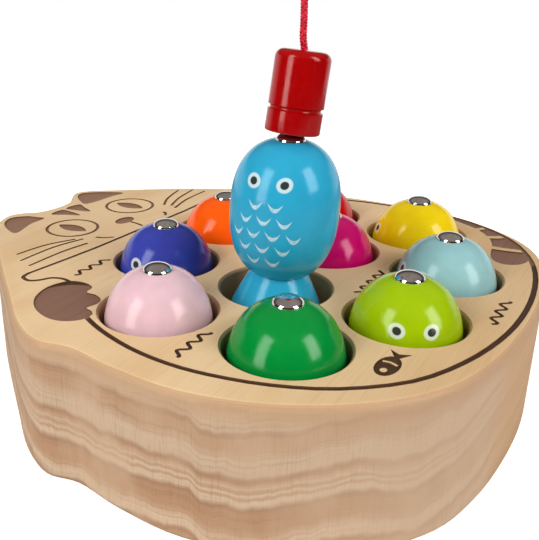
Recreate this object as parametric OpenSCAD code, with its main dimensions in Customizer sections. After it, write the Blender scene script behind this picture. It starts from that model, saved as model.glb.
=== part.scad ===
// Magnetic fishing game: a wooden cat with blind holes for ten turned fish,
// and a magnet head on a cord that is lifting one of them by its steel cap.
// Millimetres, +Z up. The block stands on Z = 0 and its ears point along +Y.

/* [Cat block] */
// Width of the block across the belly
block_w = 197; // [192:1:230]
// Length of the block from the belly to the ear tips
block_l = 225; // [220:1:260]
// Thickness of the block
block_t = 50; // [47:1:60]
// Radius of the rounded top edge
edge_r = 2; // [1:0.5:3]
// Radius of the eased bottom edge
base_r = 2; // [0.5:0.5:3]

/* [Fish holes] */
// Play of a fish's body in its hole, all round
hole_play = 1.4; // [0.6:0.1:2]
// Wood left under each hole
floor_t = 4; // [3:0.5:8]
// Chamfer around the mouth of each hole
rim_c = 0.8; // [0.6:0.1:1.2]
// Wood between the two inner holes of a row
wall_x = 4; // [3:0.5:6]
// Wood between two rows of holes
wall_y = 8; // [6:0.5:11]
// Wood between an outer hole and the inner holes beside it
wall_out = 4.9; // [4:0.1:6]

/* [Burnt drawing] */
// Depth of the burnt recesses
burn_t = 0.5; // [0.2:0.1:0.6]
// Width of the belly line
belly_line_w = 1.9; // [1.5:0.1:3]
// Width of the fine lines of the face and the fur marks
fine_line_w = 1.3; // [0.8:0.1:2]
// Radius of the rings round the cat's eyes
eye_ring_r = 11.6; // [9:0.1:13]

/* [Fish] */
// Height of a fish without its steel cap
fish_h = 60; // [56:0.5:68]
// Largest diameter of a fish
body_d = 37.2; // [34:0.2:38]
// Height of the widest place above the foot
body_z = 36.5; // [34:0.5:42]
// Fullness of the body, from 2 for an ellipse to 3 for a fuller shape
fullness = 2.4; // [2:0.1:3]
// Diameter of the waist above the tail
waist_d = 19; // [16:0.2:24]
// Height of the waist above the foot
waist_z = 13.8; // [10:0.2:16]
// Diameter of the tail's foot
tail_d = 32; // [28:0.2:37]
// Radius of the tail's foot edge
tail_r = 1; // [0.5:0.1:2]

/* [Steel caps] */
// Diameter of a cap's domed head
cap_d = 10; // [8:0.5:11]
// Height of a cap's dome
cap_h = 2.5; // [1.5:0.1:3]
// Diameter of a cap's shank
shank_d = 3; // [2:0.1:4]
// Length of a cap's shank
shank_l = 12; // [8:0.5:20]
// Play of the shank in its bore
shank_play = 0.05; // [0.02:0.01:0.2]

/* [Magnet head] */
// Diameter of the turned wooden head
head_d = 18.1; // [16:0.1:22]
// Length of the head
head_l = 26; // [22:0.1:32]
// Radius of the head's top edge
head_top_r = 2.8; // [1:0.1:4]
// Radius of the head's bottom edge
head_base_r = 0.6; // [0.4:0.1:1.5]
// Width of the groove turned round the head
groove_w = 1.5; // [1:0.1:3]
// Depth of that groove
groove_t = 0.8; // [0.3:0.1:1.5]
// Height of the groove above the head's bottom
groove_z = 7.8; // [6:0.1:10]
// Diameter of the disc magnet
magnet_d = 8; // [6:0.5:13]
// Thickness of the disc magnet
magnet_t = 4; // [3:0.5:8]
// Play of the magnet in its pocket
magnet_play = 0.1; // [0.05:0.05:0.3]

/* [Lifted fish] */
// Height of the lifted fish's foot above the hole's floor
lift_h = 39.8; // [30:0.1:42]
// Direction in which the lifted fish leans, from +X
lean_to = -57; // [-180:1:180]
// Lean of the lifted fish
fish_lean = 2.8; // [0:0.1:5]
// Lean of the magnet head
head_lean = 8; // [0:0.1:12]
// Direction in which the magnet head leans, from +X
head_to = -29; // [-180:1:180]
// Direction in which the lifted tail is close to the wall of its hole
tail_to = 213; // [0:1:360]
// Gap between the lifted tail and the wall of its hole
tail_gap = 0.5; // [0.2:0.05:0.9]
// Gap between the cap's dome and the magnet
lift_gap = 0.02; // [0.01:0.01:0.1]

/* [Cord] */
// Diameter of the braided cord
cord_d = 2.5; // [2:0.1:3]
// Diameter of the knot at the cord's end
knot_d = 6.5; // [6:0.1:9]
// Height of that knot
knot_h = 6; // [5:0.1:9]

/* [Hidden] */

// Turned surfaces
$fn = 72;
// Extra length of a cutter past the face that it opens
over = 1;
// Points between two points of a smooth outline
outline_steps = 5;

// Colours
pine = [0.89, 0.77, 0.59];
steel = [0.72, 0.72, 0.74];
lacquer_red = [0.67, 0, 0.02];
cord_red = [0.84, 0.1, 0.1];

// Points of the cat's outline, clockwise from between the ears
cat_points = [
    [4.9, 131.5], [14.3, 132.6], [21.5, 137.1], [27.9, 140.5], [35.3, 136.3], [44.2, 125.4], [63.2, 100.9],
    [76.2, 79.5], [87.1, 63.5], [95, 46.8], [94, 34], [96, 13.9], [96.5, -8], [94, -29.8], [86.1, -48.5],
    [73.3, -65.3], [56.6, -75.1], [34.8, -80.3], [11.9, -82.9], [-11.9, -82.7], [-34.8, -80.2],
    [-56.5, -73.9], [-76.3, -59.3], [-92.1, -36.6], [-100, -11.8], [-100, 11.9], [-97.5, 30], [-99.5, 42.8],
    [-93.1, 57.5], [-79.2, 75.9], [-64.2, 95.4], [-48.2, 115.4], [-35.3, 129.3], [-24.5, 138.7],
    [-16, 141.5], [-9.6, 138.7], [-4.4, 133.6]
];

// Catmull-Rom curve through four points
function curve(a, b, c, d, t) =
    0.5 * (2 * b + (c - a) * t + (2 * a - 5 * b + 4 * c - d) * t * t + (3 * b - a - 3 * c + d) * t * t * t);
// Closed smooth outline, with n steps from each point to the next
function smooth_loop(p, n) = let (m = len(p))
    [for (i = [0:m - 1], k = [0:n - 1])
        curve(p[(i + m - 1) % m], p[i], p[(i + 1) % m], p[(i + 2) % m], k / n)];
// Open smooth line through all the points
function smooth_line(p, n) = let (m = len(p))
    concat([for (i = [0:m - 2], k = [0:n - 1])
        curve(p[max(i - 1, 0)], p[i], p[i + 1], p[min(i + 2, m - 1)], k / n)], [p[m - 1]]);
// Unit vector that stands on the left of a direction
function left_of(d) = [-d[1], d[0]] / norm(d);
// Direction of a line at its point i
function along(p, i) = p[min(i + 1, len(p) - 1)] - p[max(i - 1, 0)];
// Outline of a brush stroke whose width goes from w0 to w1
function stroke(p, w0, w1) = let (m = len(p) - 1) concat(
    [for (i = [0:m]) p[i] + left_of(along(p, i)) * (w0 + (w1 - w0) * i / m) / 2],
    [for (i = [m:-1:0]) p[i] - left_of(along(p, i)) * (w0 + (w1 - w0) * i / m) / 2]);
// Closed outline moved inwards by d, for points that run clockwise
function inset(p, d) = let (m = len(p))
    [for (i = [0:m - 1]) p[i] - left_of(p[(i + 1) % m] - p[(i + m - 1) % m]) * d];
function xs(p) = [for (q = p) q[0]];
function ys(p) = [for (q = p) q[1]];

// The outline is drawn about the middle of the holes and fitted to the block's width and length
drawn = smooth_loop(cat_points, outline_steps);
fit_x = block_w / (max(xs(drawn)) - min(xs(drawn)));
fit_y = block_l / (max(ys(drawn)) - min(ys(drawn)));
function fitted(p) = [for (q = p) [q[0] * fit_x, q[1] * fit_y]];
outline = fitted(drawn);
mid_x = (max(xs(outline)) + min(xs(outline))) / 2;
mid_y = (max(ys(outline)) + min(ys(outline))) / 2;

// The holes follow the fish's body
hole_d = body_d + 2 * hole_play;
row_pitch = hole_d + wall_y;
inner_x = (hole_d + wall_x) / 2;
outer_x = inner_x + sqrt(pow(hole_d + wall_out, 2) - pow(row_pitch / 2, 2));

// Hole centres, in the order of the fish
holes = [
    [-outer_x, row_pitch / 2], [-inner_x, row_pitch], [inner_x, row_pitch],
    [-inner_x, 0], [inner_x, 0], [outer_x, row_pitch / 2],
    [-outer_x, -row_pitch / 2], [outer_x, -row_pitch / 2],
    [-inner_x, -row_pitch], [inner_x, -row_pitch]
];
lifted = 3;

// Axes of the lifted fish and the magnet head
function level(to) = [cos(to), sin(to), 0];
function tipped(angle, to) = level(to) * sin(angle) + [0, 0, cos(angle)];
fish_axis = tipped(fish_lean, lean_to);
head_axis = tipped(head_lean, head_to);
// Reach of the leaning tail towards the wall, from the middle of its foot
lean_share = sin(fish_lean) * cos(lean_to - tail_to);
tail_reach = (tail_d / 2) * sqrt(1 - pow(lean_share, 2)) + tail_r * lean_share;
foot = [holes[lifted][0], holes[lifted][1], floor_t + lift_h]
    + [cos(tail_to), sin(tail_to), 0] * (hole_d / 2 - tail_gap - tail_reach);
// The magnet touches the cap's oval dome a little beside its top
head_tilt = acos(fish_axis * head_axis);
dome_reach = sqrt(pow(cap_d / 2 * sin(head_tilt), 2) + pow(cap_h * cos(head_tilt), 2));
head_foot = foot + fish_axis * fish_h + head_axis * (dome_reach + lift_gap);
head_top = head_foot + head_axis * head_l;

// Cord's route from the head's top, as distance in the fish's lean and height
cord_points = [
    [0, 0], [-0.6, 4], [-0.6, 9], [-0.7, 14], [-0.8, 19], [-0.8, 25], [-0.7, 31]
];
cord_sides = 8;
cord_route = [for (p = cord_points) head_top + level(lean_to) * p[0] + [0, 0, p[1]]];
cord_last = len(cord_route) - 1;

module at_holes_centre() translate([-mid_x, -mid_y, 0]) children();

// Flat middle of the block, inside the rounded edges
module core() linear_extrude(block_t) polygon(inset(outline, edge_r));

// Rim of the block round that middle, with a rounded top edge and an eased bottom edge
module rim() {
    steps = 4;
    rings = concat(
        [[edge_r, 0]],
        [for (k = [0:steps / 2]) let (a = 180 * k / steps) [base_r * (1 - sin(a)), base_r * (1 - cos(a))]],
        [for (k = [0:steps]) let (a = 90 * k / steps) [edge_r * (1 - cos(a)), block_t - edge_r * (1 - sin(a))]]);
    m = len(outline);
    n = len(rings);
    polyhedron([for (r = rings) for (q = inset(outline, r[0])) [q[0], q[1], r[1]]],
        [for (j = [0:n - 1], i = [0:m - 1]) let (k = (j + 1) % n, h = (i + 1) % m)
            [j * m + i, j * m + h, k * m + h, k * m + i]]);
}

// Cutter for one blind hole with a chamfered mouth
module hole_cut() {
    translate([0, 0, floor_t]) cylinder(d = hole_d, h = block_t);
    translate([0, 0, block_t - rim_c])
        cylinder(d1 = hole_d, d2 = hole_d + 2 * (rim_c + over), h = rim_c + over);
}

// Cutter for a flat burnt recess, from shapes drawn on the top face
module burn() translate([0, 0, block_t - burn_t]) linear_extrude(burn_t + over) children();

module filled(p) polygon(fitted(p));
module line(p, w, steps = 6, tip = 1) polygon(stroke(fitted(smooth_line(p, steps)), w, w * tip));

// Right edge of an upright pupil, from its lower tip at k = -4 to its upper tip at k = 4
function lens_edge(k) = [15 * (cos(10 * k) - cos(40)), 12.3 * sin(10 * k)];

// Ear patches, forehead wedges, eyes, nose, mouth and whiskers
module burnt_face() {
    ears = [
        [[-32, 120], [-30, 128], [-25, 134.5], [-18.5, 137], [-13, 133], [-11.5, 128], [-11, 124], [-20, 123.5]],
        [[16.5, 122.5], [18.5, 129], [23, 134.5], [28, 136.5], [33, 132.5], [37.5, 126], [40, 119.5], [33, 120.5]]
    ];
    wedges = [
        [[-5, 125.5], [2.5, 126], [3, 120], [1.3, 113.5], [-1.5, 119]],
        [[5.5, 126], [13.5, 125], [11.5, 120], [8.3, 113.5], [6, 119]]
    ];
    eyes = [[-13.8, 104.4], [25.2, 103.6]];
    whiskers = [
        [[-24, 93.5], [-36, 99], [-50, 101]], [[-22, 91], [-36, 94.5], [-54, 94.8]],
        [[-25, 86], [-38, 88], [-56, 88.2]],
        [[35, 90.5], [45, 95.5], [59, 99]], [[36, 87], [48, 91], [64, 93.5]], [[34, 83.5], [48, 86.5], [65, 87]]
    ];
    ticks = [[[-17.4, 88], [-16.4, 85], [-13.2, 81.5]], [[26, 84.5], [25, 82.5], [22.5, 80.8]]];
    for (p = concat(ears, wedges)) filled(smooth_loop(p, 4));
    for (p = fitted(eyes)) translate(p) {
        difference() {
            circle(r = eye_ring_r);
            circle(r = eye_ring_r - fine_line_w);
        }
        polygon(concat([for (k = [-4:4]) lens_edge(k)], [for (k = [3:-1:-3]) let (q = lens_edge(k)) [-q[0], q[1]]]));
    }
    filled([for (a = [0:30:330]) [6.6 + 5.4 * cos(a), 91.8 + 3.4 * sin(a)]]);
    line([[6.6, 90], [6.2, 85], [5, 80.5]], fine_line_w, 3);
    for (p = whiskers) line(p, fine_line_w, 4, 0.8);
    for (p = ticks) line(p, fine_line_w * 1.2, 3, 0.7);
}

// Line of the chin, with the hook that joins it to the near paw
module burnt_chin() {
    line([[56, 77.5], [33, 77], [0, 78.6], [-27, 79.6], [-53, 82], [-62, 83]], fine_line_w * 1.1, 2);
    line([[-61, 82.9], [-65, 82], [-66.3, 78], [-64, 75], [-60, 72.6], [-58.4, 68.5], [-59, 64.5]],
        fine_line_w * 1.2, 4);
}

// Paws: a rounded patch with three toes towards the belly
module burnt_paws() {
    paw = smooth_loop([
        [-60, 66.2], [-67, 68], [-75.5, 65.5], [-82, 59.3], [-85.3, 51], [-84.6, 44.5], [-80.5, 40],
        [-75.5, 39.6], [-73.4, 42], [-72.6, 44.6], [-68, 43.6], [-64.6, 45.2], [-62.8, 49.2],
        [-62.8, 53.2], [-58.6, 54.2], [-56.8, 58.5], [-57.4, 63]
    ], 3);
    filled(paw);
    filled([for (q = paw) [-q[0], q[1]]]);
}

// Belly line: it follows the block's edge from paw to paw
module burnt_belly() line([
    [-77.5, 41], [-82.6, 30], [-87, 15], [-88.6, 0], [-87.4, -14], [-83, -31], [-74.6, -47.6],
    [-60, -63], [-42, -72], [-22, -77.4], [-2, -79.6], [20, -79], [41, -75.6], [58, -69.6], [73, -60],
    [85, -45], [91, -28], [92.6, -8], [91, 14], [86, 30], [79.5, 40.5]
], belly_line_w, 3);

// Striped tail that lies along the belly line
module burnt_tail() {
    difference() {
        filled(smooth_loop([
            [92.6, -22], [89.8, -38], [83, -50], [73.5, -60.5], [63, -67.6], [53.6, -70.8], [46.4, -68.4],
            [44, -63], [47, -58.6], [53.5, -56.4], [61, -55.2], [68.5, -52.8], [75, -48.8], [80.6, -43.5], [86, -34]
        ], 3));
        line([[60.3, -53], [60.8, -60], [62.3, -66.6]], 3.2, 2, 0.9);
        line([[71.5, -49.5], [74, -54], [77, -57.2]], 3, 2, 0.9);
        line([[78.3, -42.8], [81.3, -45.6], [85, -47.2]], 2.5, 2, 0.9);
    }
}

// Wavy mark whose first trough is at x, drawn over the waves from first to last
module fur_mark(x, y, pitch, first, last) {
    steps = 8 * (last - first);
    filled(stroke([for (k = [0:steps]) let (t = first + k / 8) [x + pitch * t, y - 1.4 * cos(360 * t)]],
        fine_line_w, fine_line_w));
}

module burnt_fur() {
    fur_mark(-51.8, 67.5, 5.9, -0.25, 3);
    fur_mark(-83.4, 0.7, 5.85, -0.125, 3.125);
    fur_mark(-15, -27.2, 6.05, 0.5, 4.5);
    fur_mark(-10, -72.6, 6.3, -0.25, 3.125);
}

// Small fish sign with a pale eye and a pale gill line
module burnt_sign() {
    difference() {
        filled([for (a = [0:20:340]) [-55.4 + 6.4 * cos(a), -54.2 + 3.6 * sin(a)]]);
        filled([for (a = [0:45:315]) [-58.3 + 1.3 * cos(a), -54 + 1.1 * sin(a)]]);
        line([[-53.4, -51.9], [-53, -54.2], [-54, -56.6]], 0.9, 2);
    }
    filled([[-50, -54.4], [-45.2, -51.3], [-47, -54.6], [-45.4, -58.2], [-50, -55.4]]);
}

module cat_block() color(pine) at_holes_centre() {
    rim();
    difference() {
        core();
        for (p = holes) translate([p[0], p[1], 0]) hole_cut();
        burn() {
            burnt_face();
            burnt_chin();
            burnt_paws();
            burnt_belly();
            burnt_tail();
            burnt_fur();
            burnt_sign();
        }
    }
}

// Radius of a fish at a height above its widest place
function bulge(z, half) = (body_d / 2) * pow(1 - pow(abs(z) / half, fullness), 1 / fullness);
// Half height of the full oval whose diameter has come down to d at the height h
function half_height(h, d) = h / pow(1 - pow(d / body_d, fullness), 1 / fullness);
lower_half = half_height(body_z - waist_z, waist_d);
upper_half = half_height(fish_h - body_z, cap_d + 1);

// One turned fish, standing on its tail
module fish(paint) color(paint) difference() {
    steps = 14;
    foot_steps = 3;
    tail_steps = 6;
    tail_h = waist_z - tail_r;
    rotate_extrude() polygon(concat(
        [[0, 0]],
        [for (k = [0:foot_steps]) let (a = 90 * k / foot_steps)
            [tail_d / 2 - tail_r * (1 - sin(a)), tail_r * (1 - cos(a))]],
        [for (k = [1:tail_steps - 1]) let (t = k / tail_steps)
            [waist_d / 2 + (tail_d - waist_d) / 2 * pow(1 - t, 0.85), tail_r + tail_h * t]],
        [for (k = [0:steps]) let (z = (waist_z - body_z) * (1 - k / steps)) [bulge(z, lower_half), body_z + z]],
        [for (k = [1:steps]) let (z = (fish_h - body_z) * sin(90 * k / steps)) [bulge(z, upper_half), body_z + z]],
        [[0, fish_h]]));
    translate([0, 0, fish_h - shank_l - shank_play])
        cylinder(d = shank_d + 2 * shank_play, h = shank_l + over, $fn = 24);
}

// One domed steel cap with its shank, standing on the fish's top
module cap() color(steel) {
    steps = 8;
    translate([0, 0, fish_h]) rotate_extrude() polygon(concat(
        [[0, 0]],
        [for (k = [0:steps - 1]) let (a = 90 * k / steps) [cap_d / 2 * cos(a), cap_h * sin(a)]],
        [[0, cap_h]]));
    translate([0, 0, fish_h - shank_l]) cylinder(d = shank_d, h = shank_l, $fn = 24);
}

// Place of fish i: standing in its hole, or lifted out of it and leaning
module fish_place(i) at_holes_centre() {
    if (i == lifted) translate(foot) rotate([0, 0, lean_to]) rotate([0, fish_lean, 0]) children();
    else translate([holes[i][0], holes[i][1], floor_t]) children();
}

module pink_fish() fish_place(0) fish([0.91, 0.75, 0.8]);
module violet_fish() fish_place(1) fish([0.24, 0.29, 0.67]);
module orange_fish() fish_place(2) fish([1, 0.36, 0]);
module cyan_fish() fish_place(lifted) fish([0.18, 0.63, 0.8]);
module magenta_fish() fish_place(4) fish([0.8, 0, 0.41]);
module red_fish() fish_place(5) fish([0.78, 0, 0.04]);
module green_fish() fish_place(6) fish([0, 0.55, 0.2]);
module yellow_fish() fish_place(7) fish([0.91, 0.78, 0]);
module lime_fish() fish_place(8) fish([0.65, 0.8, 0]);
module pale_blue_fish() fish_place(9) fish([0.61, 0.78, 0.8]);

// Frame of the magnet head, whose axis starts at its bottom
module head_place() at_holes_centre()
    translate(head_foot) rotate([0, 0, head_to]) rotate([0, head_lean, 0]) children();

// Turned head with a rounded top, a groove and a pocket for the magnet
module magnet_head() color(lacquer_red) head_place() difference() {
    steps = 5;
    rotate_extrude() polygon(concat(
        [[0, 0]],
        [for (k = [0:steps]) let (a = 90 * k / steps)
            [head_d / 2 - head_base_r * (1 - sin(a)), head_base_r * (1 - cos(a))]],
        [for (k = [0:steps]) let (a = 180 * k / steps)
            [head_d / 2 - groove_t * sin(a), groove_z - groove_w / 2 * cos(a)]],
        [for (k = [0:steps]) let (a = 90 * k / steps)
            [head_d / 2 - head_top_r * (1 - cos(a)), head_l - head_top_r * (1 - sin(a))]],
        [[0, head_l]]));
    translate([0, 0, -over]) cylinder(d = magnet_d + 2 * magnet_play, h = magnet_t + over);
}

module magnet() color(steel) head_place() cylinder(d = magnet_d, h = magnet_t);

// Frame of one ring of the cord: its way, and a direction square to it
function cord_dir(i) = i == 0 ? head_axis
    : i == cord_last ? [0, 0, 1]
    : let (d = cord_route[i + 1] - cord_route[i - 1]) d / norm(d);
function cord_side(i) = let (s = cross(cord_dir(i), level(lean_to))) s / norm(s);

module cord() color(cord_red) at_holes_centre() {
    points = [for (i = [0:cord_last]) for (k = [0:cord_sides - 1])
        let (a = 360 * k / cord_sides)
        cord_route[i] + (cord_side(i) * cos(a) + cross(cord_dir(i), cord_side(i)) * sin(a)) * cord_d / 2];
    polyhedron(points, concat(
        [[for (k = [0:cord_sides - 1]) k]],
        [for (i = [0:cord_last - 1], k = [0:cord_sides - 1]) let (n = (k + 1) % cord_sides)
            [i * cord_sides + k, (i + 1) * cord_sides + k, (i + 1) * cord_sides + n, i * cord_sides + n]],
        [[for (k = [cord_sides - 1:-1:0]) cord_last * cord_sides + k]]));
}

// Knot in which the cord ends, drawn as the round lump of its turns
module cord_knot() color(cord_red) at_holes_centre() translate(cord_route[cord_last])
    rotate_extrude($fn = 32) polygon(concat(
        [[0, 0]],
        [for (a = [-60:20:60]) [knot_d / 2 * cos(a), knot_h / 2 * (1 + sin(a) / sin(60))]],
        [[0, knot_h]]));

cat_block();
pink_fish();
violet_fish();
orange_fish();
cyan_fish();
magenta_fish();
red_fish();
green_fish();
yellow_fish();
lime_fish();
pale_blue_fish();
fish_place(0) cap();  // pink_fish_cap
fish_place(1) cap();  // violet_fish_cap
fish_place(2) cap();  // orange_fish_cap
fish_place(lifted) cap();  // cyan_fish_cap
fish_place(4) cap();  // magenta_fish_cap
fish_place(5) cap();  // red_fish_cap
fish_place(6) cap();  // green_fish_cap
fish_place(7) cap();  // yellow_fish_cap
fish_place(8) cap();  // lime_fish_cap
fish_place(9) cap();  // pale_blue_fish_cap
magnet_head();
magnet();
cord();
cord_knot();
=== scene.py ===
# Magnetic fishing game: a thick wooden cat, ten turned fish with steel caps, and a magnet head on a cord
import math

import bmesh
import bpy
from mathutils import Matrix, Vector


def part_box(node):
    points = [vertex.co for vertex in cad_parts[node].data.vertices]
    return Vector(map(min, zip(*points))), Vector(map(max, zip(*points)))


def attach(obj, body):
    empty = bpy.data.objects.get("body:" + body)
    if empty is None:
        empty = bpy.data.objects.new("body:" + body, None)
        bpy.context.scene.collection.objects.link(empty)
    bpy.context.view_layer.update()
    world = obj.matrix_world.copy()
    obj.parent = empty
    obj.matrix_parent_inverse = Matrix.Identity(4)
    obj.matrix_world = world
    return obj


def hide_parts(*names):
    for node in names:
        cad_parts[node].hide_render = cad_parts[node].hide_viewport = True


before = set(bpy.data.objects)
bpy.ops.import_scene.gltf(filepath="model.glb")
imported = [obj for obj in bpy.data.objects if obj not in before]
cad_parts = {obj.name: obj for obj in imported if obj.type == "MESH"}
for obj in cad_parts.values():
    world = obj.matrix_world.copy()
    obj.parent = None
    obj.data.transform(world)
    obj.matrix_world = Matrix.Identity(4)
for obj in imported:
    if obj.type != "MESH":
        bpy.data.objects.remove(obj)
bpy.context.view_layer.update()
print("frame loaded")


# Small helpers

def mm(value):
    return value / 1000


def arcSteps(steps, sweep=math.pi / 2):
    return [sweep * k / steps for k in range(steps + 1)]


def deselectAll():
    if bpy.context.object and bpy.context.object.mode == "EDIT":
        bpy.ops.object.mode_set(mode="OBJECT")
    bpy.ops.object.select_all(action="DESELECT")


def tint(red, green, blue):
    # screen values 0 to 255 as linear colour
    shares = [value / 255 for value in (red, green, blue)]
    return (*[v / 12.92 if v <= 0.04 else ((v + 0.055) / 1.055) ** 2.4 for v in shares], 1.0)


def nodeBox(name):
    low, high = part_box(name)
    return Vector(low), Vector(high)


# Places that the pieces share, read off the frame and the block's own sizes

holes = {"pitchY": mm(48), "innerX": mm(22), "outerX": mm(59.95), "radius": mm(20), "floor": mm(4)}
blockTop = nodeBox("cat_block")[1].z
magentaLow, magentaHigh = nodeBox("magenta_fish")
magentaMiddle = (magentaLow + magentaHigh) / 2
holesMiddle = Vector((magentaMiddle.x - holes["innerX"], magentaMiddle.y, 0))

# the ten fish: colour, hole in pitches, and degrees that the face is turned from the camera
shoal = {
    "pink": {"colour": (224, 186, 194), "hole": (-1, 0.5), "looks": 150},
    "violet": {"colour": (56, 66, 168), "hole": (-0.5, 1), "looks": -25},
    "orange": {"colour": (255, 92, 0), "hole": (0.5, 1), "looks": 165},
    "cyan": {"colour": (42, 160, 198), "hole": (-0.5, 0), "looks": -21.5},
    "magenta": {"colour": (205, 0, 105), "hole": (0.5, 0), "looks": -140},
    "red": {"colour": (200, 0, 10), "hole": (1, 0.5), "looks": 175},
    "green": {"colour": (0, 137, 54), "hole": (-1, -0.5), "looks": 130},
    "yellow": {"colour": (248, 214, 0), "hole": (1, -0.5), "looks": -90},
    "lime": {"colour": (156, 188, 0), "hole": (-0.5, -1), "looks": 10.5},
    "pale_blue": {"colour": (146, 190, 194), "hole": (0.5, -1), "looks": -49},
}

# the fish on the magnet: degrees that it and the head lean, and towards where, and how it hangs in its hole
lifted = {
    "name": "cyan", "lean": 2.8, "leanTo": -57, "headLean": 8, "headTo": -29, "up": mm(39.8),
    "tailTo": 213, "tailGap": mm(0.5), "capGap": mm(0.02),
}


def holeMiddle(name):
    x, y = shoal[name]["hole"]
    reach = math.copysign(holes["outerX"] if abs(x) == 1 else holes["innerX"], x)
    return holesMiddle + Vector((reach, y * holes["pitchY"], holes["floor"]))


# Camera at the photo's place, about 108 mm above the block's top

camera = {
    "place": (mm(-243.2), mm(-114.6), mm(108.1)),  # from the middle of the holes, at the block's top
    "ahead": (0.8407, 0.5415),
    "down": 21.5,
    "lens": 50.34,
    "sensor": 36,
    "shift": (0.110, -0.0204),
}


def makeCamera():
    data = bpy.data.cameras.new("camera")
    data.lens = camera["lens"]
    data.sensor_width = camera["sensor"]
    data.shift_x, data.shift_y = camera["shift"]
    data.clip_start = 0.01
    viewer = bpy.data.objects.new("camera", data)
    bpy.context.scene.collection.objects.link(viewer)
    viewer.location = holesMiddle + Vector((0, 0, blockTop)) + Vector(camera["place"])
    heading = math.atan2(camera["ahead"][1], camera["ahead"][0]) - math.pi / 2
    viewer.rotation_euler = (math.radians(90 - camera["down"]), 0, heading)
    bpy.context.scene.camera = viewer
    return viewer


viewer = makeCamera()
print("camera set")


# Material helpers

def feed(tree, socket, value):
    if isinstance(value, bpy.types.NodeSocket):
        tree.links.new(value, socket)
    else:
        socket.default_value = value


def addNode(tree, kind, inputs=None, **settings):
    made = tree.nodes.new(kind)
    for name, value in settings.items():
        setattr(made, name, value)
    for key, value in (inputs or {}).items():
        feed(tree, made.inputs[key], value)
    return made


def calc(tree, operation, a, b=0.0):
    return addNode(tree, "ShaderNodeMath", {0: a, 1: b}, operation=operation).outputs[0]


def blendColour(tree, factor, a, b, way="MIX"):
    made = addNode(tree, "ShaderNodeMix", {0: factor, 6: a, 7: b}, data_type="RGBA", blend_type=way)
    return made.outputs[2]


def ramp(tree, value, low, high, start=0.0, end=1.0):
    # smooth step of a value from low to high
    made = addNode(tree, "ShaderNodeMapRange", {0: value, 1: low, 2: high, 3: start, 4: end},
                   interpolation_type="SMOOTHSTEP")
    return made.outputs[0]


def noise(tree, vector, scale, detail=2.0, rough=0.5):
    inputs = {"Vector": vector, "Scale": scale, "Detail": detail, "Roughness": rough}
    return addNode(tree, "ShaderNodeTexNoise", inputs).outputs[0]


def stretched(tree, vector, scale, place=(0, 0, 0)):
    inputs = {"Vector": vector, "Scale": scale, "Location": place}
    return addNode(tree, "ShaderNodeMapping", inputs).outputs[0]


def newMaterial(name, **values):
    material = bpy.data.materials.new(name)
    material.use_nodes = True
    tree = material.node_tree
    shader = tree.nodes["Principled BSDF"]
    for key, value in values.items():
        shader.inputs[key].default_value = value
    return material, tree, shader


def objectPoint(tree):
    return addNode(tree, "ShaderNodeTexCoord").outputs["Object"]


def dress(piece, material):
    piece.data.materials.clear()
    piece.data.materials.append(material)


# Cord: braided, taut, from the magnet head's top up out of the picture

cord = {
    # along the lifted fish's lean and up, mm
    "route": [(0, 0), (-0.6, 4), (-0.6, 9), (-0.7, 14), (-0.8, 19), (-0.8, 25), (-0.7, 31)],
    "steps": 14,           # between two points of the route
    "diameter": mm(2.5),
    "strands": 8,
    "strandR": mm(0.42),
    "strandWide": 1.5,     # a strand is flattened: its half width and half height in strand radii
    "strandHigh": 0.8,
    "strandIn": 1.25,      # how far its middle is inside the cord's surface, in strand radii
    "weave": 0.45,         # how far it passes over and under the others
    "core": 0.72,          # of the cord's radius
    "strandSides": 6,
    "coreSides": 10,
    "turn": mm(7.5),       # length of one turn of a strand
    "colour": (226, 30, 58),
    "shade": (168, 10, 34),
    "fibre": (228, 66, 80),
}

# the knot fills its box in the frame: shares of the cord's size and the box's, and of its loop's whole round
knot = {"spread": 0.9, "fit": 0.92, "turn": 0.97, "start": 0.1, "height": 0.9, "steps": 84}


def cordStart():
    # middle of the ring of points where the cord leaves the head
    points = {tuple(round(c, 7) for c in v.co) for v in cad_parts["cord"].data.vertices}
    low = min(p[2] for p in points)
    ring = [Vector(p) for p in points if p[2] < low + mm(1)]
    return sum(ring, Vector()) / len(ring)


def leanDirection():
    angle = math.radians(lifted["leanTo"])
    return Vector((math.cos(angle), math.sin(angle), 0))


def curvePoint(points, i, t):
    # Catmull-Rom curve through the points
    a, b = points[max(i - 1, 0)], points[i]
    c, d = points[i + 1], points[min(i + 2, len(points) - 1)]
    square, cube = 2 * a - 5 * b + 4 * c - d, 3 * b - a - 3 * c + d
    return 0.5 * (2 * b + (c - a) * t + square * t * t + cube * t ** 3)


def smoothRoute(points, steps):
    route = [curvePoint(points, i, k / steps) for i in range(len(points) - 1) for k in range(steps)]
    return route + [points[-1]]


def ringsAlong(route):
    # position, two cross directions and distance for each point, without twist
    rings, side, travelled = [], None, 0.0
    for i, point in enumerate(route):
        ahead = (route[min(i + 1, len(route) - 1)] - route[max(i - 1, 0)]).normalized()
        if side is None:
            side = ahead.orthogonal().normalized()
        side = (side - ahead * side.dot(ahead)).normalized()
        if i:
            travelled += (point - route[i - 1]).length
        rings.append((point, side, ahead.cross(side), travelled))
    return rings


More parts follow.
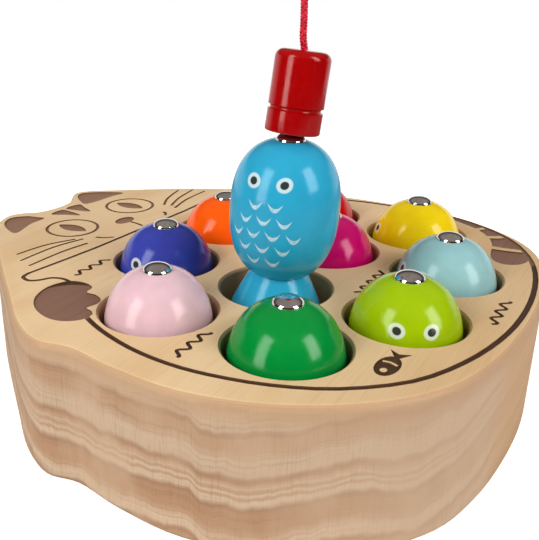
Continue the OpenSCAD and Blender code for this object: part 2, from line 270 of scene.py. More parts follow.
def braid(name, route, spread=1.0):
    # plaited strands that pass over and under each other round a core
    rings = ringsAlong(route)
    radius, thin = cord["diameter"] / 2 * spread, cord["strandR"]
    mesh = bmesh.new()
    for s in range(cord["strands"] + 1):
        core = s == cord["strands"]
        way = 1 if s % 2 else -1
        sides = cord["coreSides"] if core else cord["strandSides"]
        previous = None
        for point, u, v, distance in rings:
            turn = 0.0 if core else way * 2 * math.pi * distance / cord["turn"]
            angle = 2 * math.pi * (s // 2) / (cord["strands"] / 2) + turn
            weave = math.sin(angle * cord["strands"] / 2 + way * math.pi / 2) * thin * cord["weave"]
            out = u * math.cos(angle) + v * math.sin(angle)
            across = -u * math.sin(angle) + v * math.cos(angle)
            middle = point if core else point + out * (radius - thin * cord["strandIn"] + weave)
            wide, high = thin * cord["strandWide"], thin * cord["strandHigh"]
            if core:
                wide = high = radius * cord["core"]
            ring = []
            for k in range(sides):
                a = 2 * math.pi * k / sides
                ring.append(mesh.verts.new(middle + across * wide * math.cos(a) + out * high * math.sin(a)))
            if previous:
                for k in range(sides):
                    n = (k + 1) % sides
                    mesh.faces.new((previous[k], previous[n], ring[n], ring[k]))
            else:
                mesh.faces.new(ring)
            previous = ring
        mesh.faces.new(list(reversed(previous)))
    bmesh.ops.recalc_face_normals(mesh, faces=mesh.faces)
    data = bpy.data.meshes.new(name)
    mesh.to_mesh(data)
    mesh.free()
    data.shade_smooth()
    piece = bpy.data.objects.new(name, data)
    bpy.context.scene.collection.objects.link(piece)
    return piece


def braidMaterial():
    material, tree, shader = newMaterial("redBraid", Roughness=0.55)
    point = objectPoint(tree)
    fibre = noise(tree, stretched(tree, point, (2600, 2600, 900)), 1.0, 3.0, 0.6)
    patch = noise(tree, point, 700, 2.0)
    colour = blendColour(tree, ramp(tree, patch, 0.3, 0.75), tint(*cord["shade"]), tint(*cord["colour"]))
    lit = blendColour(tree, ramp(tree, fibre, 0.45, 0.8, 0.0, 0.4), colour, tint(*cord["fibre"]))
    feed(tree, shader.inputs["Base Color"], lit)
    bump = addNode(tree, "ShaderNodeBump", {"Height": fibre, "Strength": 0.35, "Distance": mm(0.15)})
    feed(tree, shader.inputs["Normal"], bump.outputs[0])
    return material


def makeCord():
    start, lean = cordStart(), leanDirection()
    points = [start + lean * mm(p[0]) + Vector((0, 0, mm(p[1]))) for p in cord["route"]]
    route = smoothRoute(points, cord["steps"])
    line = braid("cord_braid", route)
    red = braidMaterial()
    dress(line, red)
    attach(line, "root")
    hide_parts("cord")
    end = makeKnot(red)


def makeKnot(material):
    # overhand knot drawn tight, in the room that the frame gives it
    low, high = nodeBox("cord_knot")
    middle, size = (low + high) / 2, high - low
    thick = cord["diameter"] / 2
    reach = (size.x / 2 - thick * knot["fit"]) / 3
    rise = (size.z / 2 - thick) * knot["height"]
    loop = []
    for k in range(knot["steps"] + 1):
        t = 2 * math.pi * k / knot["steps"] * knot["turn"] + knot["start"]
        x = reach * (math.sin(t) + 2 * math.sin(2 * t))
        y = reach * (math.cos(t) - 2 * math.cos(2 * t))
        loop.append(middle + Vector((x, y, -rise * math.sin(3 * t))))
    piece = braid("cord_end_knot", loop, knot["spread"])
    dress(piece, material)
    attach(piece, "root")
    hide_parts("cord_knot")
    return piece


makeCord()
print("cord and knot made")


# Light: two lamps in front and a pale dome; the glossy pieces mirror a studio drawn on the dome

light = {
    "away": 1.1,
    "size": 0.5,
    "lamps": [(-56, 31, 7.6), (55, 31, 6.4)],       # degrees to the side of the camera, degrees up, power
    "dome": (0.44, 0.43, 0.41),                     # what lights the dull surfaces from all round
}

# what the glossy surfaces mirror: heights are sines of the angle up, and wallAhead is a cosine from ahead
studio = {
    "room": (0.022, 0.02, 0.018),
    "ceiling": (0.27, 0.24, 0.22),
    "ceilingUp": (0.3, 0.75),
    "wall": (1.0, 1.0, 1.0),
    "wallUp": (0.32, 0.16),
    "wallAhead": (0.2, 0.5),
    # degrees aside and up, half width and half height, glow
    "patches": [(-57, 22, 0.18, 0.42, 7.5), (55, 28, 0.19, 0.33, 8)],
    "patchBlue": 0.98,                              # blue as a share of red
    "soft": 0.08,                                   # width of a patch's soft edge
}

# white floor: its tone, its tone in what mirrors it, and how much it is lifted where the camera sees it
ground = {
    "radius": 0.6, "sides": 96, "tone": 0.86, "mirrored": 0.3, "lift": 0.55, "roughness": 0.6, "shine": 0.2,
}


def lightDirection(side, up):
    # from the game towards the camera, turned to the side and lifted
    back = Matrix.Rotation(math.radians(side), 3, "Z") @ -Vector((*camera["ahead"], 0))
    return back * math.cos(math.radians(up)) + Vector((0, 0, math.sin(math.radians(up))))


def makeLamps():
    target = Vector((holesMiddle.x, holesMiddle.y, blockTop))
    for i, (side, up, power) in enumerate(light["lamps"]):
        direction = lightDirection(side, up)
        data = bpy.data.lights.new(f"lamp{i}", "AREA")
        data.size = light["size"]
        data.energy = power
        lamp = bpy.data.objects.new(f"lamp{i}", data)
        lamp.visible_glossy = False
        bpy.context.scene.collection.objects.link(lamp)
        lamp.location = target + direction * light["away"]
        lamp.rotation_euler = (-direction).to_track_quat("-Z", "Y").to_euler()


def along(tree, way, direction):
    made = addNode(tree, "ShaderNodeVectorMath", {0: way, 1: tuple(direction)}, operation="DOT_PRODUCT")
    return made.outputs["Value"]


def addPatch(tree, way, side, up, halfWide, halfHigh):
    # 1 inside a soft-edged rectangle seen in the given direction
    middle = lightDirection(side, up)
    across = middle.cross(Vector((0, 0, 1))).normalized()
    inside = None
    for direction, half in ((across, halfWide), (across.cross(middle), halfHigh)):
        reach = calc(tree, "ABSOLUTE", along(tree, way, direction))
        part = ramp(tree, reach, half + studio["soft"] / 2, half - studio["soft"] / 2)
        inside = part if inside is None else calc(tree, "MULTIPLY", inside, part)
    return calc(tree, "MULTIPLY", inside, calc(tree, "GREATER_THAN", along(tree, way, middle), 0.0))


def makeWorld():
    world = bpy.data.worlds.new("studio")
    bpy.context.scene.world = world
    world.use_nodes = True
    tree = world.node_tree
    tree.nodes.clear()
    way = addNode(tree, "ShaderNodeTexCoord").outputs["Generated"]
    upwards = along(tree, way, (0, 0, 1))
    behind = ramp(tree, along(tree, way, (*camera["ahead"], 0)), *studio["wallAhead"])
    wall = calc(tree, "MULTIPLY", behind, ramp(tree, upwards, *studio["wallUp"]))
    overhead = ramp(tree, upwards, *studio["ceilingUp"])
    mirrored = blendColour(tree, overhead, (*studio["room"], 1), (*studio["ceiling"], 1))
    mirrored = blendColour(tree, wall, mirrored, (*studio["wall"], 1))
    for side, up, halfWide, halfHigh, glow in studio["patches"]:
        patch = addPatch(tree, way, side, up, halfWide, halfHigh)
        mirrored = blendColour(tree, patch, mirrored, (glow, glow, glow * studio["patchBlue"], 1))
    path = addNode(tree, "ShaderNodeLightPath").outputs
    colour = blendColour(tree, path["Is Glossy Ray"], (*light["dome"], 1), mirrored)
    colour = blendColour(tree, path["Is Camera Ray"], colour, (1, 1, 1, 1))
    background = addNode(tree, "ShaderNodeBackground", {0: colour, 1: 1.0})
    addNode(tree, "ShaderNodeOutputWorld", {0: background.outputs[0]})


def makeFloor():
    deselectAll()
    bpy.ops.mesh.primitive_circle_add(vertices=ground["sides"], radius=ground["radius"], fill_type="NGON",
                                      location=(0, 0, 0))
    floor = bpy.context.object
    floor.name = "floor"
    material, tree, shader = newMaterial("whiteFloor", Roughness=ground["roughness"])
    shader.inputs["Specular IOR Level"].default_value = ground["shine"]
    shader.inputs["Emission Color"].default_value = (1, 1, 1, 1)
    path = addNode(tree, "ShaderNodeLightPath").outputs
    bright, dim = (*[ground["tone"]] * 3, 1), (*[ground["mirrored"]] * 3, 1)
    feed(tree, shader.inputs["Base Color"], blendColour(tree, path["Is Glossy Ray"], bright, dim))
    lift = calc(tree, "MULTIPLY", path["Is Camera Ray"], ground["lift"])
    feed(tree, shader.inputs["Emission Strength"], lift)
    dress(floor, material)


makeLamps()
makeWorld()
makeFloor()
bpy.context.scene.view_settings.view_transform = "Standard"
print("light and floor made")


# Cat block: its pine with growth bands, and the burnt drawing in the recesses

block = {
    "topPale": (232, 200, 156),
    "topWarm": (218, 178, 128),
    "topGrain": (198, 154, 108),
    "topShade": (0.82, 0.77, 0.72, 1),   # the top is darker towards the tail
    "edge": (182, 145, 110),
    "plain": (196, 166, 137),
    "honey": (194, 148, 100),
    "streak": (142, 100, 72),
    # cut wood inside the holes: its own duller tone with painted shade of the bores
    "bore": (150, 116, 74),
    "roughness": 0.45,

    # how the growth bands run, in mm
    "growth": {
        "cycle": 52.0,
        "rise": 0.2,                # how much they climb towards +X
        "riseFrom": 90.0,
        "slow": 14.0,               # height of the long waves and of the short ones
        "ripple": 6.0,
        "step": -3.5,
        "stepAt": (-14, -19),       # from the holes' middle, as are the three below
        "topShadeAt": (-5, -80),
        "plainAt": (-25, -75),
        "honeyAt": (-80, -83),
        "edgeAt": (-9, -2),         # from the top
    },

    # growth bands of the side, from the top down: depth in mm and colour
    "bands": [
        (0, (196, 168, 138)), (4.6, (194, 166, 136)), (6.6, (162, 124, 94)), (7.8, (178, 140, 107)),
        (11.5, (180, 145, 113)), (15.5, (195, 167, 139)), (19.4, (193, 165, 137)), (21.2, (162, 124, 94)),
        (22.4, (178, 140, 108)), (24.3, (198, 168, 138)), (25.3, (174, 138, 108)), (26.3, (204, 176, 147)),
        (27.4, (178, 142, 111)), (28.4, (202, 175, 146)), (29.4, (200, 173, 144)), (31.2, (158, 119, 89)),
        (32.6, (172, 132, 98)), (38, (178, 139, 105)), (42, (204, 177, 148)), (44.2, (203, 176, 147)),
        (46, (166, 127, 96)), (47.2, (182, 143, 110)), (51, (202, 175, 144)),
    ],

    # the burnt drawing: x, y and reach of its patches, from the holes' middle in mm
    "burnt": {
        "line": (66, 39, 22),
        "patch": (134, 97, 79),
        "face": (146, 108, 84),
        "char": (92, 62, 48),
        "recess": 0.5,
        "slack": 0.15,              # above and below the recess's floor, with a soft end
        "soft": 0.05,
        "faceAt": (78, 88),
        "paws": [(-72, 53.5, 15.5), (72, 53.5, 15.5)],
        "stripes": [(55, -63, 12), (70, -58, 11), (84, -42, 13)],
        "mouth": 0.6,               # bare wood round a hole
        "fade": 0.5,
    },
}
growth, burnt = block["growth"], block["burnt"]


def bandColour(tree, depth):
    place = calc(tree, "FRACT", calc(tree, "DIVIDE", depth, growth["cycle"]))
    made = addNode(tree, "ShaderNodeValToRGB", {0: place})
    stops = made.color_ramp.elements
    for i, (down, colour) in enumerate(block["bands"]):
        stop = stops[i] if i < 2 else stops.new(down / growth["cycle"])
        stop.position = down / growth["cycle"]
        stop.color = tint(*colour)
    return made.outputs[0]


def bandDepth(tree, point, x, y, z):
    # how deep under the top a point is in the log: the bands are wavy and climb, with a step near the front
    slow = noise(tree, stretched(tree, point, (0.02, 0.022, 0.008), (3.1, 1.7, 0)), 1.0, 1.0)
    ripple = noise(tree, stretched(tree, point, (0.1, 0.1, 0.05)), 1.0, 2.0, 0.55)
    wave = calc(tree, "ADD", calc(tree, "MULTIPLY", calc(tree, "SUBTRACT", slow, 0.5), growth["slow"]),
                calc(tree, "MULTIPLY", calc(tree, "SUBTRACT", ripple, 0.5), growth["ripple"]))
    step = fromMiddle(tree, y, growth["stepAt"], growth["step"])
    climb = calc(tree, "MULTIPLY", calc(tree, "ADD", x, growth["riseFrom"]), growth["rise"])
    shift = calc(tree, "ADD", climb, calc(tree, "ADD", wave, step))
    return calc(tree, "ADD", calc(tree, "SUBTRACT", blockTop * 1000, z), shift)


def fromMiddle(tree, y, places, full):
    # rises from 0 to full between two places along Y, which are told from the holes' middle
    start, end = [holesMiddle.y * 1000 + place for place in places]
    return ramp(tree, y, start, end, 0.0, full)


def fromTop(tree, z, places, full=1.0):
    start, end = [blockTop * 1000 + place for place in places]
    return ramp(tree, z, start, end, 0.0, full)


def sideColour(tree, point, x, y, z, upright):
    depth = bandDepth(tree, point, x, y, z)
    side = bandColour(tree, depth)

    # fine lines run with the bands, and the dark ones show short upright fibres
    brown = addNode(tree, "ShaderNodeSeparateColor", {0: side}, mode="HSV").outputs[1]
    dark = ramp(tree, brown, 0.33, 0.48)
    inLane = {0: depth, 1: calc(tree, "MULTIPLY", x, 0.012), 2: calc(tree, "MULTIPLY", y, 0.012)}
    lane = addNode(tree, "ShaderNodeCombineXYZ", inLane).outputs[0]
    lines = ramp(tree, noise(tree, lane, 1.1, 3.0, 0.6), 0.5, 0.72)
    lines = calc(tree, "MULTIPLY", lines, calc(tree, "ADD", 0.07, calc(tree, "MULTIPLY", dark, 0.3)))
    side = blendColour(tree, lines, side, tint(*block["streak"]))
    fibres = calc(tree, "MULTIPLY", ramp(tree, upright, 0.48, 0.68), calc(tree, "MULTIPLY", dark, 0.36))
    side = blendColour(tree, fibres, side, tint(*block["streak"]))
    broad = noise(tree, stretched(tree, point, (0.06, 0.06, 0.03), (4, 0, 2)), 1.0, 2.0, 0.6)
    side = blendColour(tree, ramp(tree, broad, 0.4, 0.7, 0.0, 0.5), side, tint(*block["plain"]))

    # towards the tail's end the bands fade, and the last board is warmer
    side = blendColour(tree, fromMiddle(tree, y, growth["plainAt"], 0.62), side, tint(*block["plain"]))
    side = blendColour(tree, fromMiddle(tree, y, growth["honeyAt"], 0.5), side, tint(*block["honey"]))
    return blendColour(tree, fromTop(tree, z, growth["edgeAt"], 0.7), side, tint(*block["edge"]))


def topColour(tree, point, y, grain):
    # fine grain along X and slow warm clouds
    cloud = noise(tree, stretched(tree, point, (0.018, 0.05, 0.05), (8, 2, 0)), 1.0, 2.0, 0.5)
    warm = ramp(tree, cloud, 0.35, 0.75, 0.0, 0.6)
    top = blendColour(tree, warm, tint(*block["topPale"]), tint(*block["topWarm"]))
    top = blendColour(tree, ramp(tree, grain, 0.45, 0.8, 0.0, 0.4), top, tint(*block["topGrain"]))
    shade = fromMiddle(tree, y, growth["topShadeAt"], 0.9)
    return blendColour(tree, shade, top, block["topShade"], "MULTIPLY")


def nearest(tree, point, places):
    # 1 where the point is within the reach of one of the places (x, y and reach)
    inputs = {0: point, 1: (1, 1, 0)}
    flatPoint = addNode(tree, "ShaderNodeVectorMath", inputs, operation="MULTIPLY").outputs[0]
    found = None
    for x, y, reach in places:
        ends = {0: flatPoint, 1: (holesMiddle.x * 1000 + x, holesMiddle.y * 1000 + y, 0)}
        away = addNode(tree, "ShaderNodeVectorMath", ends, operation="DISTANCE").outputs["Value"]
        near = ramp(tree, away, reach, reach - burnt["fade"])
        found = near if found is None else calc(tree, "MAXIMUM", found, near)
    return found


def holeMask(tree, point):
    middles = [(holeMiddle(name) - holesMiddle) * 1000 for name in shoal]
    reach = holes["radius"] * 1000 + burnt["mouth"]
    return nearest(tree, point, [(middle.x, middle.y, reach) for middle in middles])


def burntColour(tree, point, y, grain):
    # the face is burnt lighter than the patches, and the lines are darkest
    patches = nearest(tree, point, burnt["paws"] + burnt["stripes"])
    colour = blendColour(tree, patches, tint(*burnt["line"]), tint(*burnt["patch"]))
    colour = blendColour(tree, fromMiddle(tree, y, burnt["faceAt"], 1.0), colour, tint(*burnt["face"]))
    return blendColour(tree, ramp(tree, grain, 0.4, 0.75, 0.0, 0.35), colour, tint(*burnt["char"]))


def burn(tree, wood, point, y, z, up, grain):
    # the recesses' floors lie just under the top, and their walls are steep
    deepest, highest = -burnt["recess"] - burnt["slack"], -burnt["recess"] + burnt["slack"]
    above = fromTop(tree, z, (deepest, deepest + burnt["soft"]))
    below = fromTop(tree, z, (highest, highest - burnt["soft"]))
    sunk = calc(tree, "MULTIPLY", calc(tree, "MULTIPLY", above, below), calc(tree, "GREATER_THAN", up, 0.97))
    wood = blendColour(tree, sunk, wood, burntColour(tree, point, y, grain))
    steep = calc(tree, "LESS_THAN", calc(tree, "ABSOLUTE", up), 0.3)
    shallow = calc(tree, "GREATER_THAN", z, blockTop * 1000 - burnt["recess"] - burnt["soft"])
    walls = calc(tree, "MULTIPLY", calc(tree, "MULTIPLY", steep, shallow), 0.85)
    return blendColour(tree, walls, wood, tint(*burnt["line"]))


def pineMaterial():
    material, tree, shader = newMaterial("pine")
    point = stretched(tree, objectPoint(tree), (1000, 1000, 1000))  # millimetres from here on
    x, y, z = addNode(tree, "ShaderNodeSeparateXYZ", {0: point}).outputs
    normal = addNode(tree, "ShaderNodeNewGeometry").outputs["True Normal"]
    up = addNode(tree, "ShaderNodeSeparateXYZ", {0: normal}).outputs[2]
    upright = noise(tree, stretched(tree, point, (2.6, 2.6, 0.09)), 1.0, 3.0, 0.75)
    grain = noise(tree, stretched(tree, point, (0.035, 1.6, 0.5)), 1.0, 4.0, 0.65)
    side = sideColour(tree, point, x, y, z, upright)
    top = topColour(tree, point, y, grain)
    inHole = holeMask(tree, point)
    wood = blendColour(tree, calc(tree, "MAXIMUM", ramp(tree, up, 0.55, 0.95), inHole), side, top)

    # the rounded edge has the side's brown, and inside the holes the cut wood is duller and darker: partly
    # its own tone, partly painted shade in the bores
    rounded = calc(tree, "MULTIPLY", ramp(tree, up, 0.15, 0.6), ramp(tree, up, 0.985, 0.9))
    wood = blendColour(tree, calc(tree, "MULTIPLY", rounded, 0.7), wood, tint(*block["edge"]))
    deep = calc(tree, "LESS_THAN", z, blockTop * 1000 - 0.9)
    inner = calc(tree, "MULTIPLY", inHole, calc(tree, "MAXIMUM", deep, calc(tree, "LESS_THAN", up, 0.95)))
    wood = blendColour(tree, calc(tree, "MULTIPLY", inner, 0.75), wood, tint(*block["bore"]))
    feed(tree, shader.inputs["Base Color"], burn(tree, wood, point, y, z, up, grain))

    relief = calc(tree, "ADD", calc(tree, "MULTIPLY", grain, 0.5), calc(tree, "MULTIPLY", upright, 0.5))
    bump = addNode(tree, "ShaderNodeBump", {"Height": relief, "Strength": 0.15, "Distance": mm(0.2)})
    feed(tree, shader.inputs["Normal"], bump.outputs[0])
    rough = calc(tree, "ADD", calc(tree, "MULTIPLY", grain, 0.2), block["roughness"])
    feed(tree, shader.inputs["Roughness"], rough)
    return material


dress(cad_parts["cat_block"], pineMaterial())
print("block dressed")


# Fish: one turned shape, copied to its ten places

fish = {
    "height": mm(60), "bodyR": mm(18.6), "bodyZ": mm(36.5), "topR": mm(5.5),
    "fullness": 2.4,  # 2 would make the body a plain oval
    "waistR": mm(9.5), "waistZ": mm(13.8), "tailR": mm(16), "tailEdge": mm(1), "tailFlare": 0.85,
    "sides": 96, "edgeSteps": 4, "tailSteps": 12, "bodySteps": 20,

    # the printed eyes: how far below the top, and degrees to each side of the face
    "eyes": {
        "down": mm(11), "turn": 18.3, "flat": 1.12, "white": mm(2.6), "pupil": mm(1.38),
        "whiteTint": (222, 232, 226), "pupilTint": (10, 12, 16),
    },

    # rows of crescents; the middle row is the widest, and every row bows up in its middle
    "scales": {
        "row": mm(4.8), "first": mm(19.3), "middleRow": 2, "width": 3.9, "pitch": mm(6.8), "half": mm(2.6),
        "deep": mm(3.1), "hollow": mm(1.7), "bow": mm(1.1), "bowReach": mm(14), "tint": (214, 228, 232),
    },
}
eyes, scales = fish["eyes"], fish["scales"]

# blotches, haze and skin of the paint: noise scales and strengths
paintwork = {
    "shine": 0.3, "blotch": 160, "blotchTone": 0.93, "haze": 420, "hazeRough": (0.12, 0.22),
    "skin": 520, "skinStrength": 0.3, "skinDepth": mm(0.1),
}


def fullHeight(height, radius):
    # half height of the full oval that has come down to the radius at the height
    return height / (1 - (radius / fish["bodyR"]) ** fish["fullness"]) ** (1 / fish["fullness"])


def bodyRadius(rise, half):
    return fish["bodyR"] * (1 - (abs(rise) / half) ** fish["fullness"]) ** (1 / fish["fullness"])


def fishProfile():
    # radius and height from the foot to the top
    foot, edge, waist = fish["tailR"], fish["tailEdge"], fish["waistR"]
    waistZ, bodyZ, steps = fish["waistZ"], fish["bodyZ"], fish["bodySteps"]
    low = fullHeight(bodyZ - waistZ, waist)
    high = fullHeight(fish["height"] - bodyZ, fish["topR"])
    rings = []
    for a in arcSteps(fish["edgeSteps"]):
        rings.append((foot - edge * (1 - math.sin(a)), edge * (1 - math.cos(a))))
    for k in range(1, fish["tailSteps"]):
        t = k / fish["tailSteps"]
        rings.append((waist + (foot - waist) * (1 - t) ** fish["tailFlare"], edge + (waistZ - edge) * t))
    for k in range(steps + 1):
        z = (waistZ - bodyZ) * (1 - k / steps)
        rings.append((bodyRadius(z, low), bodyZ + z))
    for a in arcSteps(steps)[1:]:
        z = (fish["height"] - bodyZ) * math.sin(a)
        rings.append((bodyRadius(z, high), bodyZ + z))
    return rings


def turned(name, rings, sides):
    # a circle extruded and resized ring by ring, as on a lathe
    deselectAll()
    radius, height = rings[0]
    bpy.ops.mesh.primitive_circle_add(vertices=sides, radius=radius, location=(0, 0, height))
    piece = bpy.context.object
    piece.name = name
    bpy.ops.object.mode_set(mode="EDIT")
    bpy.ops.mesh.select_all(action="SELECT")
    bpy.ops.mesh.edge_face_add()
    for nextRadius, nextHeight in rings[1:]:
        bpy.ops.mesh.extrude_region_move(TRANSFORM_OT_translate={"value": (0, 0, nextHeight - height)})
        factor = nextRadius / radius
        bpy.ops.transform.resize(value=(factor, factor, 1), center_override=(0, 0, 0))
        radius, height = nextRadius, nextHeight
    bpy.ops.mesh.select_all(action="SELECT")
    bpy.ops.mesh.normals_make_consistent(inside=False)
    bpy.ops.object.mode_set(mode="OBJECT")
    bpy.ops.object.transform_apply(location=True, rotation=True, scale=True)
    bpy.ops.object.shade_smooth_by_angle(angle=math.radians(40))
    return piece


def unrollPrint(piece):
    # u is the arc from the fish's face, v the way down from the top, both in metres
    data = piece.data
    layer = data.uv_layers.new(name="print")
    for face in data.polygons:
        middle = math.atan2(face.center.y, face.center.x)
        for corner in face.loop_indices:
            spot = data.vertices[data.loops[corner].vertex_index].co
            angle = math.atan2(spot.y, spot.x)
            angle += 2 * math.pi * round((middle - angle) / (2 * math.pi))
            radius = math.hypot(spot.x, spot.y)
            layer.data[corner].uv = (angle * radius, fish["height"] - spot.z)


def lacquer(name, colour, printed=False):
    material, tree, shader = newMaterial(name)
    shader.inputs["Specular IOR Level"].default_value = paintwork["shine"]
    point = objectPoint(tree)
    base = tint(*colour)
    dark = (*[share * paintwork["blotchTone"] for share in base[:3]], 1)
    blotch = noise(tree, point, paintwork["blotch"], 2.0)
    paint = blendColour(tree, ramp(tree, blotch, 0.3, 0.7), dark, base)
    if printed:
        paint = printEyes(tree, printScales(tree, paint))
    feed(tree, shader.inputs["Base Color"], paint)
    haze = noise(tree, point, paintwork["haze"], 4.0, 0.7)
    feed(tree, shader.inputs["Roughness"], ramp(tree, haze, 0.3, 0.7, *paintwork["hazeRough"]))
    skin = noise(tree, point, paintwork["skin"], 3.0, 0.6)
    uneven = {"Height": skin, "Strength": paintwork["skinStrength"], "Distance": paintwork["skinDepth"]}
    feed(tree, shader.inputs["Normal"], addNode(tree, "ShaderNodeBump", uneven).outputs[0])
    return material


def printPlace(tree):
    spot = addNode(tree, "ShaderNodeUVMap", uv_map="print").outputs[0]
    return addNode(tree, "ShaderNodeSeparateXYZ", {0: spot}).outputs[:2]


def arched(tree, value, reach):
    # 1 in the middle, 0 at the reach, as a parabola
    return calc(tree, "SUBTRACT", 1.0, calc(tree, "POWER", calc(tree, "DIVIDE", value, reach), 2.0))


def printScales(tree, paint):
    u, v = printPlace(tree)
    rowHigh, pitch, deep = scales["row"], scales["pitch"], scales["deep"]
    bow = calc(tree, "MULTIPLY", arched(tree, u, scales["bowReach"]), scales["bow"])
    level = calc(tree, "ADD", v, bow)
    fromFirst = calc(tree, "SUBTRACT", level, scales["first"] - rowHigh / 2)
    row = calc(tree, "FLOOR", calc(tree, "DIVIDE", fromFirst, rowHigh))
    rowMiddle = calc(tree, "ADD", calc(tree, "MULTIPLY", row, rowHigh), scales["first"])
    down = calc(tree, "SUBTRACT", level, rowMiddle)

    # every other row is moved by half a pitch
    moved = calc(tree, "ADD", u, calc(tree, "MULTIPLY", calc(tree, "PINGPONG", row, 1.0), pitch / 2))
    cell = calc(tree, "FLOOR", calc(tree, "DIVIDE", moved, pitch))
    across = calc(tree, "SUBTRACT", moved, calc(tree, "MULTIPLY", calc(tree, "ADD", cell, 0.5), pitch))

    # a crescent lies between two arches
    arch = arched(tree, across, scales["half"])
    lower = calc(tree, "MULTIPLY", calc(tree, "SUBTRACT", arch, 0.5), deep)
    upper = calc(tree, "SUBTRACT", calc(tree, "MULTIPLY", arch, scales["hollow"]), deep / 2)
    crescent = calc(tree, "MULTIPLY", ramp(tree, calc(tree, "SUBTRACT", lower, down), -mm(0.1), mm(0.1)),
                    ramp(tree, calc(tree, "SUBTRACT", down, upper), -mm(0.1), mm(0.1)))
    crescent = calc(tree, "MULTIPLY", crescent, calc(tree, "GREATER_THAN", arch, 0.0))

    # the rows get shorter away from the middle one, and the print is a little worn
    rowsAway = calc(tree, "ABSOLUTE", calc(tree, "SUBTRACT", row, scales["middleRow"]))
    limit = calc(tree, "MULTIPLY", calc(tree, "SUBTRACT", scales["width"], rowsAway), pitch / 2)
    inside = calc(tree, "MULTIPLY", calc(tree, "LESS_THAN", calc(tree, "ABSOLUTE", u), limit),
                  calc(tree, "LESS_THAN", rowsAway, scales["middleRow"] + 0.5))
    worn = ramp(tree, noise(tree, objectPoint(tree), 1500, 2.0), 0.3, 0.6, 0.4, 0.72)
    shown = calc(tree, "MULTIPLY", calc(tree, "MULTIPLY", crescent, inside), worn)
    return blendColour(tree, shown, paint, tint(*scales["tint"]))


def printEyes(tree, paint):
    # a pale ring with a black pupil on each side of the face
    u, v = printPlace(tree)
    high = fullHeight(fish["height"] - fish["bodyZ"], fish["topR"])
    eyeArc = math.radians(eyes["turn"]) * bodyRadius(fish["height"] - eyes["down"] - fish["bodyZ"], high)
    aside = calc(tree, "SUBTRACT", calc(tree, "ABSOLUTE", u), eyeArc)
    below = calc(tree, "MULTIPLY", calc(tree, "SUBTRACT", v, eyes["down"]), eyes["flat"])
    squares = calc(tree, "ADD", calc(tree, "POWER", aside, 2.0), calc(tree, "POWER", below, 2.0))
    away = calc(tree, "SQRT", squares)
    white = ramp(tree, away, eyes["white"] + mm(0.25), eyes["white"] - mm(0.25))
    black = ramp(tree, away, eyes["pupil"] + mm(0.15), eyes["pupil"] - mm(0.15))
    paint = blendColour(tree, calc(tree, "MULTIPLY", white, 0.7), paint, tint(*eyes["whiteTint"]))
    return blendColour(tree, calc(tree, "MULTIPLY", black, 0.95), paint, tint(*eyes["pupilTint"]))


# steel caps: a low dome with a shank that goes down into the fish
cap = {
    "radius": mm(5), "rise": mm(2.5), "shankR": mm(1.5), "shank": mm(12), "steps": 24, "sides": 64,
    "dull": (214, 209, 204), "bright": (236, 234, 231), "haze": 300,
}


def leaning(angle, towards):
    return Matrix.Rotation(math.radians(towards), 4, "Z") @ Matrix.Rotation(math.radians(angle), 4, "Y")


def fishFoot(name):
    # the middle of a fish's foot: the lifted one's tail hangs near the wall of its hole
    middle = holeMiddle(name)
    if name != lifted["name"]:
        return middle
    tailTo = math.radians(lifted["tailTo"])
    share = math.sin(math.radians(lifted["lean"])) * math.cos(math.radians(lifted["leanTo"]) - tailTo)
    reach = fish["tailR"] * math.sqrt(1 - share ** 2) + fish["tailEdge"] * share
    shift = holes["radius"] - lifted["tailGap"] - reach
    return middle + Vector((math.cos(tailTo) * shift, math.sin(tailTo) * shift, lifted["up"]))


def fishPlace(name):
    # where a fish stands, and which way its face is turned
    foot = fishFoot(name)
    toCamera = viewer.location - foot
    turn = math.atan2(toCamera.y, toCamera.x) + math.radians(shoal[name]["looks"])
    if name != lifted["name"]:
        return Matrix.Translation(foot) @ Matrix.Rotation(turn, 4, "Z")
    lean = leaning(lifted["lean"], lifted["leanTo"])
    return Matrix.Translation(foot) @ lean @ Matrix.Rotation(turn - math.radians(lifted["leanTo"]), 4, "Z")


def capRings():
    rings = [(cap["shankR"], -cap["shank"]), (cap["shankR"], 0), (cap["radius"], 0)]
    for k in range(1, cap["steps"] + 1):
        a = math.pi / 2 * k / (cap["steps"] + 0.5)  # the last ring is the edge of a tiny flat
        rings.append((cap["radius"] * math.cos(a), cap["rise"] * math.sin(a)))
    return [(r, fish["height"] + z) for r, z in rings]


def placeCopy(master, name, place, material, node):
    piece = master.copy()
    piece.data = master.data.copy()
    piece.name = piece.data.name = name
    bpy.context.scene.collection.objects.link(piece)
    piece.data.transform(place)
    dress(piece, material)
    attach(piece, "root")
    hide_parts(node)


def steelMaterial():
    material, tree, shader = newMaterial("polishedSteel", Metallic=1.0)
    point = objectPoint(tree)
    haze = noise(tree, point, cap["haze"], 3.0, 0.6)
    colour = blendColour(tree, ramp(tree, haze, 0.3, 0.7), tint(*cap["dull"]), tint(*cap["bright"]))
    feed(tree, shader.inputs["Base Color"], colour)
    feed(tree, shader.inputs["Roughness"], calc(tree, "ADD", calc(tree, "MULTIPLY", haze, 0.1), 0.03))
    return material


def makeShoal():
    body = turned("fish", fishProfile(), fish["sides"])
    unrollPrint(body)
    head = turned("cap", capRings(), cap["sides"])
    steel = steelMaterial()
    for name, member in shoal.items():
        place = fishPlace(name)
        paint = lacquer(name + "Lacquer", member["colour"], True)
        placeCopy(body, name + "_turned_fish", place, paint, name + "_fish")
        placeCopy(head, name + "_steel_cap", place, steel, name + "_fish_cap")
    for master in (body, head):
        bpy.data.objects.remove(master)


makeShoal()
print("fish and caps made")


# Magnet head: turned and lacquered, with a groove and a disc magnet in its bottom

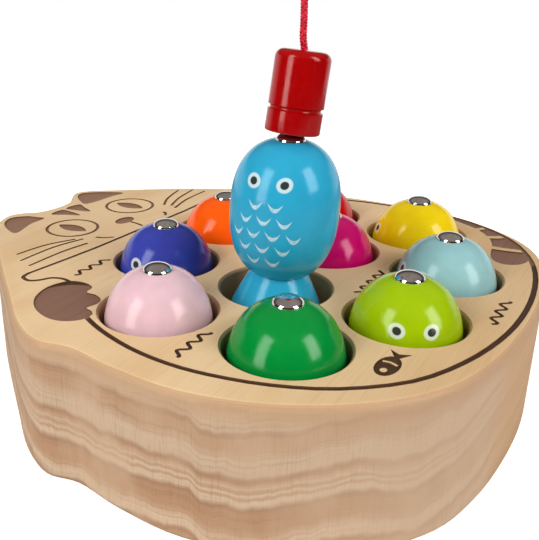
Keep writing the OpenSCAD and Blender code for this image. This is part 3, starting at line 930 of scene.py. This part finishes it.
magnetHead = {
    "radius": mm(9.05), "length": mm(26), "topEdge": mm(2.8), "baseEdge": mm(0.6),
    "grooveW": mm(1.5), "grooveT": mm(0.8), "grooveZ": mm(7.8),
    "pocketR": mm(4.1), "pocket": mm(4), "colour": (160, 0, 2),
    "sides": 96, "baseSteps": 6, "grooveSteps": 8, "topSteps": 10,
}

# the plated magnet is tinted dark red and dim: painted shade under the head and a painted red reflection,
# which the cap under it mirrors
discMagnet = {"roughness": 0.3, "haze": 500, "dull": (130, 44, 44), "bright": (150, 64, 62)}


def headRings():
    # from a tiny flat at the pocket's roof, out over the foot and the groove, to the top
    radius, top, base = magnetHead["radius"], magnetHead["topEdge"], magnetHead["baseEdge"]
    pocketR, pocket = magnetHead["pocketR"], magnetHead["pocket"]
    rings = [(mm(0.5), pocket), (pocketR, pocket), (pocketR, 0)]
    for a in arcSteps(magnetHead["baseSteps"]):
        rings.append((radius - base * (1 - math.sin(a)), base * (1 - math.cos(a))))
    for a in arcSteps(magnetHead["grooveSteps"], math.pi):
        deep, low = magnetHead["grooveT"] * math.sin(a), magnetHead["grooveW"] / 2 * math.cos(a)
        rings.append((radius - deep, magnetHead["grooveZ"] - low))
    for a in arcSteps(magnetHead["topSteps"]):
        rings.append((radius - top * (1 - math.cos(a)), magnetHead["length"] - top * (1 - math.sin(a))))
    return rings


def makeMagnetHead():
    headLean = leaning(lifted["headLean"], lifted["headTo"])
    tipped = leaning(lifted["lean"], lifted["leanTo"]).to_3x3() @ Vector((0, 0, 1))
    headTipped = headLean.to_3x3() @ Vector((0, 0, 1))
    tilt = tipped.angle(headTipped)
    domeReach = math.hypot(cap["radius"] * math.sin(tilt), cap["rise"] * math.cos(tilt))
    foot = fishFoot(lifted["name"]) + tipped * fish["height"] + headTipped * (domeReach + lifted["capGap"])
    piece = turned("magnet_holder", headRings(), magnetHead["sides"])
    piece.data.transform(Matrix.Translation(foot) @ headLean)
    dress(piece, lacquer("headLacquer", magnetHead["colour"]))
    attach(piece, "root")
    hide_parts("magnet_head")


def magnetMaterial():
    material, tree, shader = newMaterial("magnetPlate", Metallic=1.0, Roughness=discMagnet["roughness"])
    haze = noise(tree, objectPoint(tree), discMagnet["haze"], 3.0)
    colour = blendColour(tree, haze, tint(*discMagnet["dull"]), tint(*discMagnet["bright"]))
    feed(tree, shader.inputs["Base Color"], colour)
    return material


makeMagnetHead()
# the magnet's plate carries the painted dark red that the cap under it mirrors
dress(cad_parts["magnet"], magnetMaterial())
print("magnet head made")
